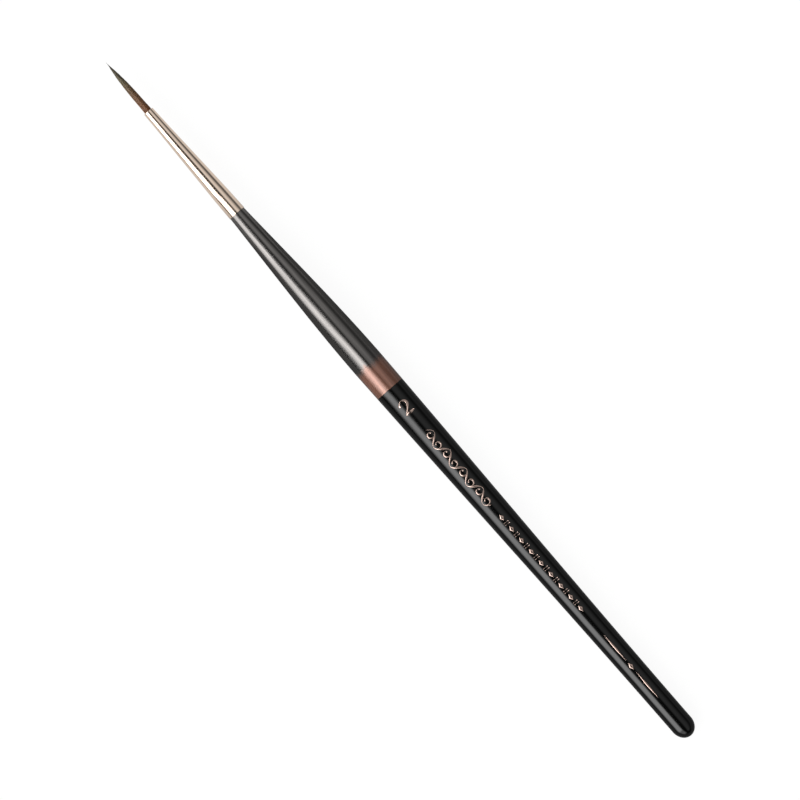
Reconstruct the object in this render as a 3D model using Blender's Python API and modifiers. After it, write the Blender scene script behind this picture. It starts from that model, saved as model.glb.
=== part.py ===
"""Fine detail brush: a pointed hair tuft in a drawn metal ferrule, on a turned and lacquered wooden handle.

Every piece is turned about the brush's own axis, local Z, which runs from the round end of the handle to
the tip of the hair. Heights are measured from the shoulder, the plane where the ferrule meets the handle.
"""
import math

import bmesh
import bpy
from mathutils import Vector

MM = 0.001

# Handle, as finished
SHOULDER_DIAMETER = 3.56 * MM
BELLY_DIAMETER = 6.62 * MM
END_DIAMETER = 4.76 * MM
GRIP_LENGTH = 40.1 * MM
BAND_WIDTH = 6.4 * MM
GLOSS_LENGTH = 91.8 * MM
END_ROUND_LENGTH = 2.8 * MM
GRIP_FLARE = 0.047
TAPER_FULLNESS = 1.15
COAT_THICKNESS = 0.2 * MM

# Ferrule
FERRULE_LENGTH = 27.1 * MM
SOCKET_LENGTH = 5.0 * MM
SOCKET_REAR_DIAMETER = 3.74 * MM
SOCKET_FRONT_DIAMETER = 3.6 * MM
NOSE_LENGTH = 4.4 * MM
NOSE_REAR_DIAMETER = 2.4 * MM
MOUTH_DIAMETER = 2.2 * MM
FERRULE_WALL = 0.25 * MM
LIP_CHAMFER = 0.06 * MM

# Hair
HAIR_OUT = 12.2 * MM
HAIR_IN_FERRULE = 14.0 * MM
TUFT_BELLY_DIAMETER = 1.54 * MM
TUFT_BELLY_SHARE = 0.15
TUFT_POINT_POWER = 3.0
TUFT_GATHER = 0.62
HAIR_COUNT = 320
HAIR_THICKNESS = 0.048 * MM
HAIR_TIP_SHARE = 0.3
HAIR_ROOT_DEPTH = 0.7 * MM
HAIR_RIM = 0.02 * MM
BUNDLE_SETBACK = 0.5 * MM

# Tie thread and cement
THREAD_DIAMETER = 0.2 * MM
THREAD_SPACING = 0.43 * MM
THREAD_TURNS = 4
THREAD_FROM_ROOT = 0.4 * MM
CEMENT_DEPTH = 3.0 * MM
CEMENT_WALL = 0.09 * MM
NECK_LENGTH = 2.4 * MM

# Glue film on the tenon
GLUE_FILM = 0.09 * MM
TENON_CHAMFER = 0.3 * MM

# Clearances: across a glued or painted surface, and along the axis between two neighbours
CLEARANCE = 0.03 * MM
SEAM = 0.05 * MM

# Resolution
SEGMENTS = 32
GRIP_STEPS = 9
BAND_STEPS = 2
GLOSS_STEPS = 13
ROUND_STEPS = 6
THREAD_POINTS = 20

HANDLE_LENGTH = GRIP_LENGTH + BAND_WIDTH + GLOSS_LENGTH
ROOT_HEIGHT = FERRULE_LENGTH - HAIR_IN_FERRULE
TENON_LENGTH = ROOT_HEIGHT - CEMENT_DEPTH
THREAD_PITCH = THREAD_DIAMETER + THREAD_SPACING
THREAD_LOW = ROOT_HEIGHT + THREAD_FROM_ROOT + THREAD_DIAMETER / 2
THREAD_HIGH = THREAD_LOW + THREAD_TURNS * THREAD_PITCH
CEMENT_TOP = THREAD_HIGH + THREAD_DIAMETER
GOLDEN_ANGLE = math.pi * (3 - math.sqrt(5))


def clear_scene():
    """Empty the file of what a new scene starts with."""
    for item in list(bpy.data.objects):
        bpy.data.objects.remove(item, do_unlink=True)


def make_collection(name):
    """A new collection in the scene."""
    collection = bpy.data.collections.new(name)
    bpy.context.scene.collection.children.link(collection)
    return collection


def make_material(name, color, roughness, metallic=0.0):
    """A plain Principled material."""
    material = bpy.data.materials.new(name)
    material.use_nodes = True
    shader = material.node_tree.nodes["Principled BSDF"]
    shader.inputs["Base Color"].default_value = (*color, 1.0)
    shader.inputs["Roughness"].default_value = roughness
    shader.inputs["Metallic"].default_value = metallic
    return material


def add_part(name, data, material, parent, collection):
    """One named piece on the brush's axis."""
    part = bpy.data.objects.new(name, data)
    part.parent = parent
    data.materials.append(material)
    collection.objects.link(part)
    return part


def turned_mesh(name, profile, closed):
    """A profile of (radius, height) points, from top to bottom down its outer side."""
    points = [(radius, 0.0, height) for radius, height in profile]
    edges = [(i, i + 1) for i in range(len(points) - 1)]
    if closed:
        edges.append((len(points) - 1, 0))
    mesh = bpy.data.meshes.new(name)
    mesh.from_pydata(points, edges, [])
    return mesh


def add_turned(name, profile, material, parent, collection, closed=False):
    """A piece turned on the lathe from its profile."""
    mesh = turned_mesh(name, profile, closed)
    part = add_part(name, mesh, material, parent, collection)
    turn = part.modifiers.new("Turn", "SCREW")
    turn.axis = "Z"
    turn.angle = 2 * math.pi
    turn.steps = SEGMENTS
    turn.render_steps = SEGMENTS
    turn.use_merge_vertices = True
    turn.merge_threshold = 1e-6
    turn.use_smooth_shade = True
    return part


def spread(low, high, steps):
    """Evenly spaced values from low to high, both included."""
    return [low + (high - low) * i / steps for i in range(steps + 1)]


def handle_radius(depth):
    """Finished radius of the handle at a depth behind the shoulder, up to where the end starts to round.

    The grip is a cubic that leaves the shoulder at the flare and is level at the belly. Behind it the
    taper is steepest next to the belly and runs out level at the end.
    """
    if depth <= GRIP_LENGTH:
        u = depth / GRIP_LENGTH
        start = 2 * u**3 - 3 * u**2 + 1
        lean = u**3 - 2 * u**2 + u
        radius = start * SHOULDER_DIAMETER / 2 + lean * GRIP_FLARE * GRIP_LENGTH
        return radius + (1 - start) * BELLY_DIAMETER / 2
    u = (depth - GRIP_LENGTH) / (HANDLE_LENGTH - END_ROUND_LENGTH - GRIP_LENGTH)
    share = (1 - u) ** 2 * (1 + TAPER_FULLNESS * u)
    return END_DIAMETER / 2 + share * (BELLY_DIAMETER - END_DIAMETER) / 2


def handle_side(low, high, steps, inset):
    """Profile of the handle's side between two depths, set in from the finished surface."""
    return [(handle_radius(depth) - inset, -depth) for depth in spread(low, high, steps)]


def handle_end(inset):
    """Profile of the round end, from its start down to the axis, set in from the finished surface."""
    points = []
    for angle in spread(0, math.pi / 2, ROUND_STEPS)[1:-1]:
        radius = (END_DIAMETER / 2 - inset) * math.cos(angle)
        drop = (END_ROUND_LENGTH - inset) * math.sin(angle)
        points.append((radius, END_ROUND_LENGTH - HANDLE_LENGTH - drop))
    points.append((0.0, inset - HANDLE_LENGTH))
    return points


def ferrule_radius(height):
    """Outer radius of the ferrule: a near-straight socket, a long cone and a near-straight nose."""
    stations = [
        (0.0, SOCKET_REAR_DIAMETER / 2),
        (SOCKET_LENGTH, SOCKET_FRONT_DIAMETER / 2),
        (FERRULE_LENGTH - NOSE_LENGTH, NOSE_REAR_DIAMETER / 2),
        (FERRULE_LENGTH, MOUTH_DIAMETER / 2),
    ]
    for (low, wide), (high, narrow) in zip(stations, stations[1:]):
        if height <= high:
            return wide + (narrow - wide) * (height - low) / (high - low)
    return MOUTH_DIAMETER / 2


def bore_radius(height):
    """Inner radius of the ferrule."""
    return ferrule_radius(height) - FERRULE_WALL


def bore_side(low, high, inset):
    """Profile that follows the bore from high to low with a gap, bending where the ferrule bends."""
    bends = [FERRULE_LENGTH - NOSE_LENGTH, SOCKET_LENGTH]
    heights = [high] + [bend for bend in bends if low < bend < high] + [low]
    return [(bore_radius(height) - inset, height) for height in heights]


def root_radius():
    """Radius of the tied root, which leaves room in the bore for the thread and a wall of cement."""
    around = CLEARANCE + CEMENT_WALL + CLEARANCE + THREAD_DIAMETER + CLEARANCE
    return bore_radius(CEMENT_TOP) - around


def add_handle_core(material, parent, collection):
    """Turned wood: a tapered tenon for the ferrule, the shoulder, and the body under the coats."""
    under = COAT_THICKNESS + CLEARANCE
    fit = CLEARANCE + GLUE_FILM + CLEARANCE
    tenon = bore_side(0.0, TENON_LENGTH - TENON_CHAMFER, fit)
    top = bore_radius(TENON_LENGTH) - fit - TENON_CHAMFER
    profile = [(0.0, TENON_LENGTH), (top, TENON_LENGTH)] + tenon
    profile += handle_side(0.0, GRIP_LENGTH, GRIP_STEPS, under)
    profile += handle_side(GRIP_LENGTH, HANDLE_LENGTH - END_ROUND_LENGTH, GLOSS_STEPS, under)[1:]
    profile += handle_end(under)
    return add_turned("handle_core", profile, material, parent, collection)


def add_coat(name, low, high, steps, material, parent, collection):
    """A ring of lacquer over the wood between two depths."""
    outer = handle_side(low, high, steps, 0.0)
    inner = handle_side(low, high, steps, COAT_THICKNESS)
    return add_turned(name, outer + inner[::-1], material, parent, collection, closed=True)


def add_gloss_lacquer(material, parent, collection):
    """The gloss coat, which closes over the round end of the handle."""
    low = GRIP_LENGTH + BAND_WIDTH + SEAM / 2
    high = HANDLE_LENGTH - END_ROUND_LENGTH
    outer = handle_side(low, high, GLOSS_STEPS, 0.0) + handle_end(0.0)
    inner = handle_side(low, high, GLOSS_STEPS, COAT_THICKNESS) + handle_end(COAT_THICKNESS)
    return add_turned("gloss_lacquer", inner[::-1] + outer, material, parent, collection)


def add_ferrule(material, parent, collection):
    """The drawn tube, open at both ends, with its mouth eased inside and out."""
    mouth = MOUTH_DIAMETER / 2
    bore = mouth - FERRULE_WALL
    bends = [FERRULE_LENGTH - LIP_CHAMFER, FERRULE_LENGTH - NOSE_LENGTH, SOCKET_LENGTH, SEAM]
    outer = [(mouth - LIP_CHAMFER, FERRULE_LENGTH)] + [(ferrule_radius(h), h) for h in bends]
    inner = [(bore_radius(h), h) for h in bends[:0:-1]] + [(bore, FERRULE_LENGTH)]
    return add_turned("ferrule", outer + inner, material, parent, collection, closed=True)


def add_tenon_glue(material, parent, collection):
    """The film of glue between the tenon and the socket."""
    high = TENON_LENGTH - TENON_CHAMFER
    outer = bore_side(SEAM, high, CLEARANCE)
    inner = bore_side(SEAM, high, CLEARANCE + GLUE_FILM)
    return add_turned("tenon_glue", outer + inner[::-1], material, parent, collection, closed=True)


def add_root_cement(material, parent, collection):
    """The plug of cement that fills the ferrule behind the hair and cups its tied root."""
    pocket = bore_radius(CEMENT_TOP) - CLEARANCE - CEMENT_WALL
    floor = ROOT_HEIGHT - SEAM
    outer = bore_side(TENON_LENGTH + SEAM, CEMENT_TOP, CLEARANCE)
    profile = [(0.0, floor), (pocket, floor), (pocket, CEMENT_TOP)] + outer
    profile.append((0.0, TENON_LENGTH + SEAM))
    return add_turned("root_cement", profile, material, parent, collection)


def add_binding_thread(material, parent, collection):
    """The thread tied round the root: one unbroken coil."""
    coil = root_radius() + CLEARANCE + THREAD_DIAMETER / 2
    count = THREAD_TURNS * THREAD_POINTS + 1
    points = []
    for i in range(count):
        angle = 2 * math.pi * i / THREAD_POINTS
        height = THREAD_LOW + THREAD_PITCH * i / THREAD_POINTS
        points.append(Vector((coil * math.cos(angle), coil * math.sin(angle), height)))
    far = THREAD_POINTS // 2
    gap = min((a - b).length for i, a in enumerate(points) for b in points[i + far:])
    print(f"binding_thread least gap to itself {(gap - THREAD_DIAMETER) / MM:.3f} mm")
    curve = bpy.data.curves.new("binding_thread", "CURVE")
    curve.dimensions = "3D"
    curve.bevel_depth = THREAD_DIAMETER / 2
    curve.bevel_resolution = 1
    curve.use_fill_caps = True
    spline = curve.splines.new("POLY")
    spline.points.add(count - 1)
    for target, place in zip(spline.points, points):
        target.co = (*place, 1.0)
    return add_part("binding_thread", curve, material, parent, collection)


def hair_place(index):
    """Share of the tuft's radius, and angle, of one hair on a sunflower spiral."""
    share = math.sqrt((index + 0.5) / HAIR_COUNT)
    return share, index * GOLDEN_ANGLE


def hair_end(share):
    """Share of the tuft's height where one hair meets the pointed outline and stops."""
    return ((1 - share) / (1 - share * TUFT_GATHER)) ** (1 / TUFT_POINT_POWER)


def hair_stations(share):
    """Heights above the mouth, distances from the axis and thickness shares along one hair.

    All hairs draw in by the same factor at the same height, so the layout at any height is a smaller
    copy of the layout at the mouth and no two hairs can cross.
    """
    mouth = MOUTH_DIAMETER / 2 - FERRULE_WALL - CLEARANCE - HAIR_RIM - HAIR_THICKNESS / 2
    belly = TUFT_BELLY_DIAMETER / 2 - HAIR_THICKNESS / 2
    rim = 1 - HAIR_RIM / belly
    top = hair_end(share * rim) / hair_end(hair_place(0)[0] * rim)
    stations = [(-BUNDLE_SETBACK - HAIR_ROOT_DEPTH, mouth, 1.0), (TUFT_BELLY_SHARE * HAIR_OUT, belly, 1.0)]
    for part in (0.6, 1.0):
        u = TUFT_BELLY_SHARE + (top - TUFT_BELLY_SHARE) * part
        gather = 1 - TUFT_GATHER * u**TUFT_POINT_POWER
        thin = 1 - (1 - HAIR_TIP_SHARE) * part**2
        stations.append((u * HAIR_OUT, belly * gather, gather * thin))
    return [(height, reach * share, thickness) for height, reach, thickness in stations]


def make_hair_section(collection):
    """The three-sided section that every hair is drawn with."""
    curve = bpy.data.curves.new("hair_section", "CURVE")
    curve.dimensions = "2D"
    spline = curve.splines.new("POLY")
    spline.points.add(2)
    spline.use_cyclic_u = True
    for i, point in enumerate(spline.points):
        angle = 2 * math.pi * i / 3
        point.co = (HAIR_THICKNESS / 2 * math.cos(angle), HAIR_THICKNESS / 2 * math.sin(angle), 0.0, 1.0)
    section = bpy.data.objects.new("hair_section", curve)
    section.hide_render = True
    section.display_type = "WIRE"
    collection.objects.link(section)
    return section


def make_hairs(parent, collection):
    """All the hairs as one set of separate closed strands."""
    curve = bpy.data.curves.new("hairs", "CURVE")
    curve.dimensions = "3D"
    curve.bevel_mode = "OBJECT"
    curve.bevel_object = make_hair_section(collection)
    curve.use_fill_caps = True
    for index in range(HAIR_COUNT):
        share, angle = hair_place(index)
        stations = hair_stations(share)
        spline = curve.splines.new("POLY")
        spline.points.add(len(stations) - 1)
        for point, (height, reach, thickness) in zip(spline.points, stations):
            place = (reach * math.cos(angle), reach * math.sin(angle), FERRULE_LENGTH + height)
            point.co = (*place, 1.0)
            point.radius = thickness
    drawn = bpy.data.objects.new("hairs_drawn", curve)
    collection.objects.link(drawn)
    mesh = bpy.data.meshes.new_from_object(drawn.evaluated_get(bpy.context.evaluated_depsgraph_get()))
    bpy.data.objects.remove(drawn, do_unlink=True)
    shape = bmesh.new()
    shape.from_mesh(mesh)
    bmesh.ops.remove_doubles(shape, verts=shape.verts, dist=1e-8)
    bmesh.ops.recalc_face_normals(shape, faces=shape.faces)
    shape.to_mesh(mesh)
    shape.free()
    hairs = bpy.data.objects.new("hairs", mesh)
    hairs.parent = parent
    hairs.hide_render = True
    hairs.display_type = "WIRE"
    collection.objects.link(hairs)
    return hairs


def report_hair_gap():
    """Print the least gap between neighbouring hairs in the mouth and at the belly of the tuft."""
    gaps = []
    for station in (0, 1):
        places = []
        for index in range(HAIR_COUNT):
            share, angle = hair_place(index)
            reach = hair_stations(share)[station][1]
            places.append(Vector((reach * math.cos(angle), reach * math.sin(angle))))
        gaps += [(a - b).length for i, a in enumerate(places) for b in places[i + 1:]]
    print(f"hair_tuft {HAIR_COUNT} hairs, least gap {(min(gaps) - HAIR_THICKNESS) / MM:.4f} mm")


def add_hair_tuft(material, parent, collection, cutters):
    """The bundle packed in the ferrule, tied in at its root, with the hairs that stand out of it."""
    high = FERRULE_LENGTH - BUNDLE_SETBACK
    neck = CEMENT_TOP + NECK_LENGTH
    packed = bore_side(neck, high, CLEARANCE)
    root = root_radius()
    profile = [(0.0, high)] + packed + [(root, CEMENT_TOP), (root, ROOT_HEIGHT), (0.0, ROOT_HEIGHT)]
    tuft = add_turned("hair_tuft", profile, material, parent, collection)
    join = tuft.modifiers.new("Hairs", "BOOLEAN")
    join.operation = "UNION"
    join.solver = "EXACT"
    join.object = make_hairs(parent, cutters)
    report_hair_gap()
    return tuft


def build():
    """Make every piece of the brush, lying along X with the tip towards minus X."""
    clear_scene()
    brush = make_collection("fine_detail_brush")
    cutters = make_collection("construction")
    hair = make_material("red_sable_hair", (0.16, 0.09, 0.045), 0.5)
    thread = make_material("waxed_thread", (0.75, 0.71, 0.6), 0.7)
    cement = make_material("root_cement", (0.45, 0.27, 0.1), 0.35)
    metal = make_material("plated_ferrule", (0.78, 0.68, 0.6), 0.2, 1.0)
    glue = make_material("tenon_glue", (0.8, 0.76, 0.62), 0.4)
    wood = make_material("turned_hardwood", (0.62, 0.43, 0.25), 0.6)
    matt = make_material("anthracite_lacquer", (0.09, 0.085, 0.08), 0.45)
    copper = make_material("copper_lacquer", (0.62, 0.36, 0.27), 0.35, 1.0)
    gloss = make_material("black_gloss_lacquer", (0.01, 0.01, 0.01), 0.08)
    axis = bpy.data.objects.new("brush_axis", None)
    brush.objects.link(axis)
    middle = (FERRULE_LENGTH + HAIR_OUT - HANDLE_LENGTH) / 2
    axis.location = (middle, 0.0, BELLY_DIAMETER / 2 * math.cos(math.pi / SEGMENTS))
    axis.rotation_mode = "ZYX"
    axis.rotation_euler = (0.0, -math.pi / 2, math.pi / SEGMENTS)
    band_start = GRIP_LENGTH
    band_stop = GRIP_LENGTH + BAND_WIDTH
    add_handle_core(wood, axis, brush)
    add_coat("grip_lacquer", 0.0, band_start - SEAM / 2, GRIP_STEPS, matt, axis, brush)
    add_coat("copper_band", band_start + SEAM / 2, band_stop - SEAM / 2, BAND_STEPS, copper, axis, brush)
    add_gloss_lacquer(gloss, axis, brush)
    add_ferrule(metal, axis, brush)
    add_tenon_glue(glue, axis, brush)
    add_root_cement(cement, axis, brush)
    add_binding_thread(thread, axis, brush)
    add_hair_tuft(hair, axis, brush, cutters)


build()
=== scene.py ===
"""Looks of a fine detail brush, laid out as an add-on: hair, ferrule, lacquer, foil and a small studio.

The brush lies along X with its tip towards minus X. Settings are in metres. A depth is a distance along X
from the shoulder, the plane where the ferrule meets the handle: positive on the handle, negative on the
ferrule and hair.
"""
import math
from itertools import chain

import bpy
import numpy as np
from bpy.props import FloatProperty, FloatVectorProperty, IntProperty, PointerProperty
from bpy.types import Operator, Panel, PropertyGroup
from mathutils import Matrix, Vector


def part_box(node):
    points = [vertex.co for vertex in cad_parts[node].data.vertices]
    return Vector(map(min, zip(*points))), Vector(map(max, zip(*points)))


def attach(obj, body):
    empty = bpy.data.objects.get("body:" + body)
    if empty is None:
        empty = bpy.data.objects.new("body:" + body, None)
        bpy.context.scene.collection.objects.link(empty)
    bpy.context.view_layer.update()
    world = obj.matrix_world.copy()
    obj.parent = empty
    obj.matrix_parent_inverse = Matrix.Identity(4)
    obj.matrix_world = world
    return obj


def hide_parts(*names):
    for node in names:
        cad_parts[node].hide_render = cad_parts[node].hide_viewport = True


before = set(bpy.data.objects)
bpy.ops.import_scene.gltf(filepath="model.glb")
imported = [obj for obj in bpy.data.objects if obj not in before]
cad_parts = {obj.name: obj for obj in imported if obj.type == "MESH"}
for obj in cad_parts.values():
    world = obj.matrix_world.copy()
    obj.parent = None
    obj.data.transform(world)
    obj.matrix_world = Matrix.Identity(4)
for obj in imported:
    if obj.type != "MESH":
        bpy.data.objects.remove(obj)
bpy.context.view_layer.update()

bl_info = {
    "name": "Fine Detail Brush",
    "version": (1, 0, 0),
    "blender": (4, 5, 0),
    "location": "View3D > Sidebar > Detail Brush",
    "description": "Dresses the solids of a fine detail brush with hair, metal, lacquer and foil",
    "category": "Object",
}

MM = 0.001
TIP_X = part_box("hair_tuft")[0].x
MOUTH_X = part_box("ferrule")[0].x
SHOULDER_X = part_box("grip_lacquer")[0].x
BAND_LOW, BAND_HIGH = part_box("copper_band")
END_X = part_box("gloss_lacquer")[1].x
AXIS_Z = (BAND_LOW.z + BAND_HIGH.z) / 2
# Half the gap that the source leaves between neighbouring coats, and the half gap that the scene leaves
SEAM = 0.025 * MM
COAT_GAP = 0.002 * MM
# Slope of the grip at the shoulder, and fullness of the taper behind the belly
GRIP_FLARE = 0.047
TAPER_FULLNESS = 1.15
# Half the length over which drawing softens the ferrule's bends
BEND = 0.8 * MM
# Radii of eased edges: satin coats, gloss coat, mouth of the ferrule, rear of the ferrule
COAT_EDGE, GLOSS_EDGE = 0.012 * MM, 0.03 * MM
LIP_EDGE, REAR_EDGE = 0.09 * MM, 0.05 * MM
# A row of points this close to an eased edge keeps the edge's shading off the long faces beside it.
GUARD = 0.06 * MM
# Rows of points along each turned piece, and points round it
FERRULE_ROWS, GRIP_ROWS, BAND_ROWS, GLOSS_ROWS, ROUND_ROWS = 90, 70, 16, 110, 22
BUNDLE_SIDES, FERRULE_SIDES, COAT_SIDES = 48, 96, 112
# Length of the tuft past the solid's tip; the innermost hairs run on a little further.
HAIR_POINT = 0.3 * MM
GOLDEN_ANGLE = math.pi * (3 - math.sqrt(5))
# Foil: its edge over the lacquer, its underside below it, and its crown as a share of the half width
FOIL_EDGE, FOIL_SUNK, FOIL_DOME = 0.006 * MM, 0.01 * MM, 0.34
# Copper mist: how far its front edge strays, and where it starts and is full, from the band's front
MIST_STRAY = 0.9 * MM
MIST_START, MIST_FULL = -0.7 * MM, 1.3 * MM
FLOOR_REACH = 2.5
WHITE = (1.0, 1.0, 1.0)

# Strip lights: angles about the axis, in degrees, between which each one rises and falls
KEY_ANGLES = (-72, -46, -30, -13)
FILL_ANGLES = (-2, 19, 27, 74)
HORIZON_ANGLES = (60, 100, 150, 180)
# Bow of the key's lower and upper edge: degrees of drop in its middle, along the axis and beyond the tuft
KEY_BOW = ((-11, 18, -16), (-12, 11, -8))
# Places along the axis of a ray's unit vector: middle and half length of the bow, and its way back
BOW_MIDDLE, BOW_REACH = -0.03, 0.1
BACK_START, BACK_END = -0.16, -0.23
# Places where a light is full and where it is low, and the share left there: the key and all light
# together fall off to both ends, the fill to the round end
KEY_DIM, FILL_DIM, END_DIM = (0.3, 0.55, 0.36), (-0.08, 0.0, 0.66), (0.8, 0.97, 0.05)

# Kinds of node that come often, and settings for them
MATH, RANGE, MIX = "ShaderNodeMath", "ShaderNodeMapRange", "ShaderNodeMix"
SMOOTH, RGBA = {"interpolation_type": "SMOOTHSTEP"}, {"data_type": "RGBA"}
# Sockets of a Mix node that blends colours
MIX_A, MIX_B, MIX_OUT = 6, 7, 2


def linear(hex_colour):
    """Turn an sRGB hex colour into linear red, green and blue."""
    value = np.array([int(hex_colour[i:i + 2], 16) for i in (1, 3, 5)]) / 255
    low = value / 12.92
    high = ((value + 0.055) / 1.055) ** 2.4
    return tuple(float(c) for c in np.where(value <= 0.04045, low, high))


def length_setting(label, text, default):
    """A length in metres that a user can change."""
    return FloatProperty(name=label, description=text, default=default, min=0.0, precision=6, unit="LENGTH")


def colour_setting(label, text, default):
    """A colour that a user can change."""
    return FloatVectorProperty(
        name=label, description=text, default=linear(default), size=3, min=0.0, max=1.0, subtype="COLOR"
    )


class DetailBrushSizes(PropertyGroup):
    """Sizes of the pieces that show."""

    shoulder_diameter: length_setting("Shoulder diameter", "Handle next to the ferrule", 3.56 * MM)
    belly_diameter: length_setting("Belly diameter", "Thickest place of the handle", 6.62 * MM)
    end_diameter: length_setting("End diameter", "Handle where its end starts to round", 4.76 * MM)
    grip_length: length_setting("Grip length", "Shoulder to copper band", BAND_LOW.x - SEAM - SHOULDER_X)
    band_width: length_setting("Band width", "Copper band's length", BAND_HIGH.x - BAND_LOW.x + 2 * SEAM)
    handle_length: length_setting("Handle length", "Shoulder to round end", END_X - SHOULDER_X)
    end_round: length_setting("End round", "Length of the round end", 2.8 * MM)
    coat_thickness: length_setting("Coat thickness", "Lacquer on the wood", 0.2 * MM)
    ferrule_length: length_setting("Ferrule length", "Shoulder to mouth", SHOULDER_X - MOUTH_X)
    socket_length: length_setting("Socket length", "Near-straight rear of the ferrule", 5.0 * MM)
    socket_rear_diameter: length_setting("Socket rear diameter", "Ferrule next to the handle", 3.74 * MM)
    socket_front_diameter: length_setting("Socket front diameter", "Ferrule before its cone", 3.6 * MM)
    nose_length: length_setting("Nose length", "Near-straight front of the ferrule", 4.4 * MM)
    nose_rear_diameter: length_setting("Nose rear diameter", "Ferrule after its cone", 2.4 * MM)
    mouth_diameter: length_setting("Mouth diameter", "Ferrule at its mouth", 2.2 * MM)
    ferrule_wall: length_setting("Ferrule wall", "Thickness of the drawn tube", 0.25 * MM)
    hair_out: length_setting("Hair length", "Hair outside the ferrule", MOUTH_X - TIP_X + HAIR_POINT)
    tuft_diameter: length_setting("Tuft diameter", "Belly of the tuft", 1.56 * MM)
    hair_thickness: length_setting("Hair thickness", "One hair at its belly", 0.05 * MM)
    hair_count: IntProperty(name="Hairs", description="Hairs in the tuft", default=620, min=50, max=1500)
    foil_crown: length_setting("Foil crown", "Most that a stamped stroke is domed", 0.055 * MM)
    numeral_depth: length_setting("Numeral place", "Shoulder to the foot of the size numeral", 52.9 * MM)


class DetailBrushColours(PropertyGroup):
    """Colours of the finishes."""

    hair_root: colour_setting("Hair root", "Hair next to the ferrule", "#794a28")
    hair_middle: colour_setting("Hair middle", "Hair at a third of its length", "#78573a")
    hair_upper: colour_setting("Hair upper", "Hair at two thirds of its length", "#695f45")
    hair_tip: colour_setting("Hair tip", "Hair at the point", "#322b21")
    ferrule: colour_setting("Ferrule", "Warm nickel plating", "#f0dac7")
    anthracite: colour_setting("Grip", "Satin anthracite lacquer", "#615e5c")
    copper: colour_setting("Band", "Copper-coloured lacquer", "#845948")
    black: colour_setting("Gloss", "Black gloss lacquer", "#040404")
    foil: colour_setting("Foil", "Rose-gold stamping foil", "#ccb3a7")
    floor: colour_setting("Floor", "Pale floor, before its own glow", "#454544")


class DetailBrushStudio(PropertyGroup):
    """Light and camera."""

    key_light: FloatProperty(name="Key", description="Brightness of the strip beside the brush", default=5.2)
    fill_light: FloatProperty(name="Fill", description="Brightness of the strip on the far side", default=0.8)
    horizon_light: FloatProperty(name="Horizon", description="Brightness low on the far side", default=0.4)
    room_light: FloatProperty(name="Room", description="Brightness all round", default=0.02)
    roll: FloatProperty(
        name="Roll", description="Turn of the brush in view", default=math.radians(48.98), unit="ROTATION"
    )
    picture_width: length_setting("Picture width", "Width seen at the brush", 0.16)
    camera_side: length_setting("Camera side", "Camera's place beside the axis", 0.07 * MM)
    lens: FloatProperty(name="Lens", description="Focal length in millimetres", default=200.0, min=10.0)


# Shapes


def handle_radius(depth, sizes):
    """Radius of the handle at a depth, for whole arrays.

    The grip is a cubic that leaves the shoulder at the flare's slope and is level at the belly. Behind the
    belly the radius falls by (1 - u)^2 (1 + fullness u), with u running from the belly to the round end.
    The round end is a quarter ellipse.
    """
    shoulder = sizes.shoulder_diameter / 2
    belly = sizes.belly_diameter / 2
    end = sizes.end_diameter / 2
    straight = sizes.handle_length - sizes.end_round
    u = np.clip(depth / sizes.grip_length, 0, 1)
    start = 2 * u**3 - 3 * u**2 + 1
    grip = start * shoulder + (u**3 - 2 * u**2 + u) * GRIP_FLARE * sizes.grip_length + (1 - start) * belly
    v = np.clip((depth - sizes.grip_length) / (straight - sizes.grip_length), 0, 1)
    rear = end + (1 - v) ** 2 * (1 + TAPER_FULLNESS * v) * (belly - end)
    w = np.clip((depth - straight) / sizes.end_round, 0, 1)
    return np.where(depth <= sizes.grip_length, grip, rear) * np.sqrt(1 - w**2)


def ferrule_radius(height, sizes):
    """Outer radius of the ferrule at heights over the shoulder, for whole arrays.

    It is three straight tapers, averaged over twice BEND so that the bends between them are as soft as
    drawing leaves them. Near the ends the average narrows to what room there is.
    """
    nose = sizes.ferrule_length - sizes.nose_length
    heights = [0.0, sizes.socket_length, nose, sizes.ferrule_length]
    socket = [sizes.socket_rear_diameter, sizes.socket_front_diameter]
    diameters = [*socket, sizes.nose_rear_diameter, sizes.mouth_diameter]
    offsets = np.linspace(-BEND, BEND, 9)
    room = np.minimum(height, sizes.ferrule_length - height)
    reach = np.minimum(1.0, room / BEND)
    places = height[:, None] + offsets[None, :] * reach[:, None]
    return np.interp(places, heights, diameters).mean(axis=1) / 2


def rounded_rim(inner, outer, depth, facing, radius, steps=5):
    """Points of a rim whose two edges are rounded: quarter circles at the outer and the inner edge.

    facing is the way along X that the rim looks. The points run from the outer side to the inner side.
    """
    angle = np.linspace(0, math.pi / 2, steps)
    rise = depth - facing * radius * (1 - np.sin(angle))
    first = np.stack([rise, outer - radius * (1 - np.cos(angle))], axis=1)
    second = np.stack([rise[::-1], inner + radius * (1 - np.cos(angle[::-1]))], axis=1)
    return np.concatenate([first, second])


def about_axis(x, radius, angle):
    """Points at places along X, each at a radius and an angle about the brush's axis, for whole arrays."""
    x, radius, angle = np.broadcast_arrays(x, radius, angle)
    return np.stack([x, radius * np.sin(angle), AXIS_Z + radius * np.cos(angle)], axis=-1)


def lathe(profile, segments):
    """Turn a profile of (depth, radius) points about the brush's axis: a grid of profile by angle."""
    angle = np.arange(segments) * 2 * math.pi / segments
    return about_axis(SHOULDER_X + profile[:, 0, None], profile[:, 1, None], angle)


def ring_faces(index, close_rows):
    """Quads between neighbouring rows of a grid whose columns close on themselves."""
    following = np.roll(index, -1, axis=-1)
    if close_rows:
        below, below_next = np.roll(index, -1, axis=-2), np.roll(following, -1, axis=-2)
        here, here_next = index, following
    else:
        below, below_next = index[..., 1:, :], following[..., 1:, :]
        here, here_next = index[..., :-1, :], following[..., :-1, :]
    return np.stack([here, here_next, below_next, below], axis=-1).reshape(-1, 4)


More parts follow.
